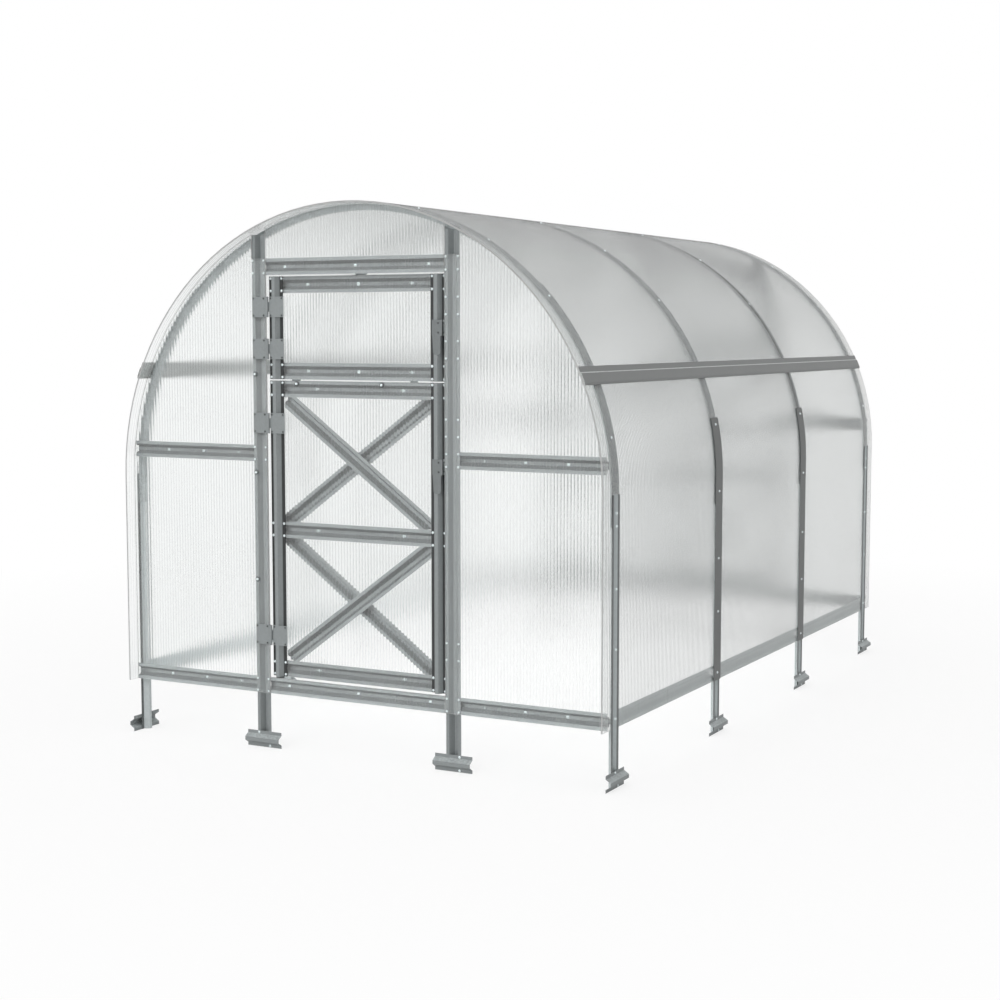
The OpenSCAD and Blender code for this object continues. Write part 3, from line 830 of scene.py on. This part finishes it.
def add_leaf_fasteners(solid, leaf, end):
    """Fasteners of one door leaf: in its stiles' flanges, its rails' crowns, its hinges and its latch."""
    normal = (0, end, 0)
    face = end * FACE_Y
    sheet_face = end * LEAF_Y
    flange = end * (LEAF_Y + STEEL_T)
    crown = end * (LEAF_Y - SHEET_T - HAT_D + STEEL_T)
    inner, outer = LEAF_HALF - HAT_W + FLANGE_W / 2, LEAF_HALF - FLANGE_W / 2
    for z in rail_middles(leaf):
        for side in (-1, 1):
            for x in (inner, outer):
                for rise in (-PAIR, PAIR):
                    add_screw(solid, (side * x, flange, z + rise), normal)
        for x in RAIL_SCREW_XS[leaf]:
            add_screw(solid, (x, crown, z), normal, RAIL_SCREW_R)
    latch_zs = (latch_height(leaf),)
    add_plate_screws(solid, LEAF_HINGE_XS, face, hinge_heights(leaf), HINGE_SCREW_RISE, end)
    add_plate_screws(solid, (LATCH_SCREW_X,), face, latch_zs, LATCH_SCREW_RISE, end)
    add_plate_screws(solid, (KEEPER_SCREW_X,), flange, latch_zs, LATCH_SCREW_RISE, end)
    if leaf == LOWER:
        for x in MEETING_BOLT_XS:
            add_bolt(solid, (x, sheet_face, LEAF_SPANS[LOWER][1] - MEETING_BOLT_DROP), normal)


def add_foot_fasteners(solid):
    """Two screws in the flanges of each foot."""
    upper, lower = HAT_W - FLANGE_W / 2, FLANGE_W / 2
    for end in (-1, 1):
        face = end * (GABLE_Y + STEEL_T)
        for side in (-1, 1):
            add_screw(solid, (side * (POST_X + FLANGE_OFF), face, upper), (0, end, 0))
            add_screw(solid, (side * POST_X + FLANGE_OFF, face, lower), (0, end, 0))
    for side in (-1, 1):
        face = side * (LEG_HIGH.x + STEEL_T)
        for y in ARCH_YS:
            add_screw(solid, (face, y, upper), (side, 0, 0))
            add_screw(solid, (face, y + FLANGE_OFF, lower), (side, 0, 0))


def add_side_fasteners(solid):
    """Screws along the end legs' webs, the cover strips and the arches of both sides."""
    web_x = LEG_HIGH.x - WEB_DEPTH
    for y in ARCH_YS:
        covered = abs(y) < END_ARCH_Y - HAT_W
        for side in (-1, 1):
            if covered:
                for z in LEG_SCREW_ZS:
                    add_screw(solid, (side * STRIP_HIGH.x, y, z), (side, 0, 0))
            else:
                web_normal = (side * WEB_NORMAL[0], WEB_NORMAL[1], 0)
                for z in LEG_SCREW_ZS + (SPLICE_SCREW_Z,):
                    add_screw(solid, (side * web_x, y + WEB_OFF, z), web_normal)
        for degrees in ARCH_SCREW_ANGLES:
            on_strip = covered and min(degrees, 180 - degrees) < STRIP_END_ANGLE
            radius = STRIP_HIGH.x if on_strip else SHEET_R
            angle = math.radians(degrees)
            normal = (math.cos(angle), 0, math.sin(angle))
            add_screw(solid, (radius * normal[0], y, LEG_H + radius * normal[2]), normal)


solid = Solid()
for end in (-1, 1):
    add_gable_fasteners(solid, end)
for leaf in LEAF_SPANS:
    add_leaf_fasteners(solid, leaf, 1)
solid.finish("gable_screws", [bright, dull, faded], FRAME, (BRIGHT, DULL, FADED))
solid = Solid()
add_side_fasteners(solid)
add_foot_fasteners(solid)
solid.finish("side_screws", [bright], FRAME, (BRIGHT,))
for leaf in LEAF_SPANS:
    solid = Solid()
    add_leaf_fasteners(solid, leaf, -1)
    solid.finish(leaf + "_screws", [bright, dull], leaf, (BRIGHT, DULL))


def plain_floor():
    """Pale floor that keeps a soft shadow near the house, and is white where it is seen farther off."""
    h = FLOOR_HALF
    mesh = bpy.data.meshes.new("studio_floor")
    mesh.from_pydata([(-h, -h, 0), (h, -h, 0), (h, h, 0), (-h, h, 0)], [], [(0, 1, 2, 3)])
    floor = bpy.data.objects.new("studio_floor", mesh)
    floor.location.z = -FLOOR_DROP
    bpy.context.scene.collection.objects.link(floor)
    material, output = make_material("studio_floor")
    tree = material.node_tree
    distance = vector_length(tree, object_coords(tree))
    whiteness = map_range(tree, distance, *FLOOR_FADE, *FLOOR_WHITE)
    share = math_node(tree, "MULTIPLY", seen_rays(tree), whiteness)
    pale = add_node(tree, "ShaderNodeBsdfDiffuse", {"Color": FLOOR_TONE})
    white = add_node(tree, "ShaderNodeEmission", {"Color": WHITE, "Strength": 1.0})
    mixed = mix_shader(tree, share, pale, white)
    tree.links.new(mixed.outputs[0], output.inputs[0])
    mesh.materials.append(material)


def studio_world():
    """White world: full strength where it is seen, and a plain level of light elsewhere."""
    world = bpy.data.worlds.new("studio")
    bpy.context.scene.world = world
    world.use_nodes = True
    tree = world.node_tree
    tree.nodes.clear()
    output = tree.nodes.new("ShaderNodeOutputWorld")
    strength = map_range(tree, seen_rays(tree), 0.0, 1.0, WORLD_LEVEL, 1.0)
    background = add_node(tree, "ShaderNodeBackground", {"Color": WHITE, "Strength": strength})
    tree.links.new(background.outputs[0], output.inputs[0])


def soft_sun(name, direction, strength, degrees):
    """Soft directional light that shines along the direction, from a disc of that many degrees."""
    lamp = bpy.data.lights.new(name, "SUN")
    lamp.energy = strength
    lamp.angle = math.radians(degrees)
    sun = bpy.data.objects.new(name, lamp)
    sun.rotation_euler = Vector(direction).to_track_quat("-Z", "Y").to_euler()
    bpy.context.scene.collection.objects.link(sun)


def photo_camera():
    """Camera where the photograph was taken from."""
    data = bpy.data.cameras.new("photo_camera")
    data.lens = CAMERA_LENS
    data.sensor_width = SENSOR
    camera = bpy.data.objects.new("photo_camera", data)
    camera.location = CAMERA_AT
    camera.rotation_euler = (math.radians(90 - CAMERA_PITCH), 0.0, math.radians(CAMERA_YAW))
    bpy.context.scene.collection.objects.link(camera)
    bpy.context.scene.camera = camera


plain_floor()
studio_world()
soft_sun("front_sun", direction=(0.1, 0.85, -0.5), strength=1.2, degrees=40)
soft_sun("top_sun", direction=(0.0, 0.1, -1.0), strength=0.7, degrees=50)
photo_camera()
bpy.context.scene.view_settings.view_transform = "Standard"
